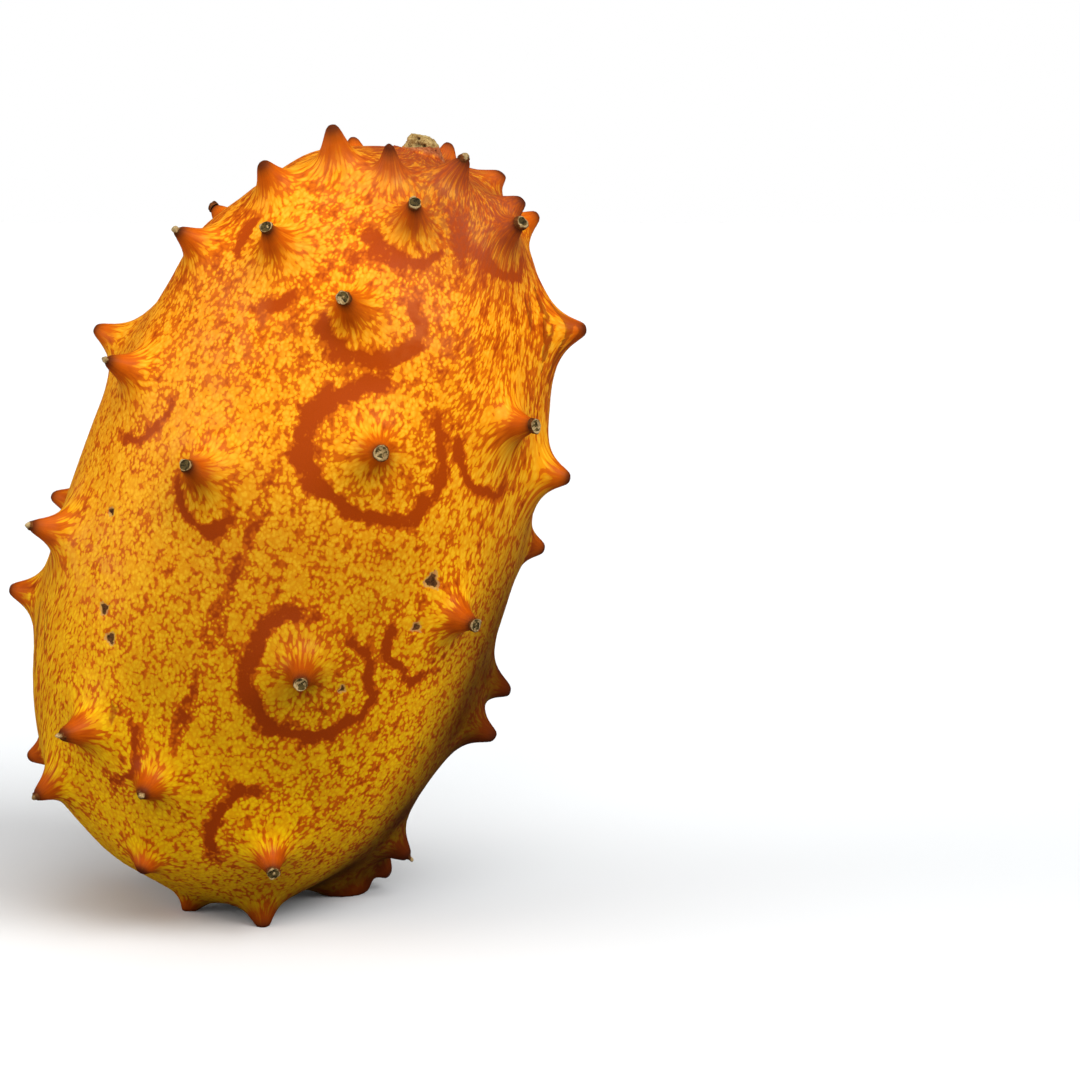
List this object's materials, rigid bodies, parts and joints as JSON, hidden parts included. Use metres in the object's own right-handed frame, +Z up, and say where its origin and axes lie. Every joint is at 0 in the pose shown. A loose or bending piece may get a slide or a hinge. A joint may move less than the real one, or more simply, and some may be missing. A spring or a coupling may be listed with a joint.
{
  "type": "horned melon",
  "caption": "Ripe horned melon with mottled yellow-orange rind, flared horns and a dry stalk stub, leaning as it stands on its blossom end.",
  "frame": {"origin": "on the surface that the fruit stands on, below the middle of its bounding box", "axes": "+Z up; the fruit's own axis leans 19 degrees from +Z towards +X, stalk end up; -Y is the front"},
  "size_m": [0.0874, 0.0792, 0.1181],
  "materials": {
    "rind": "waxy satin, yellow mottled over rust orange, with dry grey-brown horn tips",
    "dry_stalk": "dry, rough and pitted, tan to olive"
  },
  "bodies": {
    "root": {"fruit": "rind", "stem_stub": "dry_stalk"}
  },
  "joints": []
}
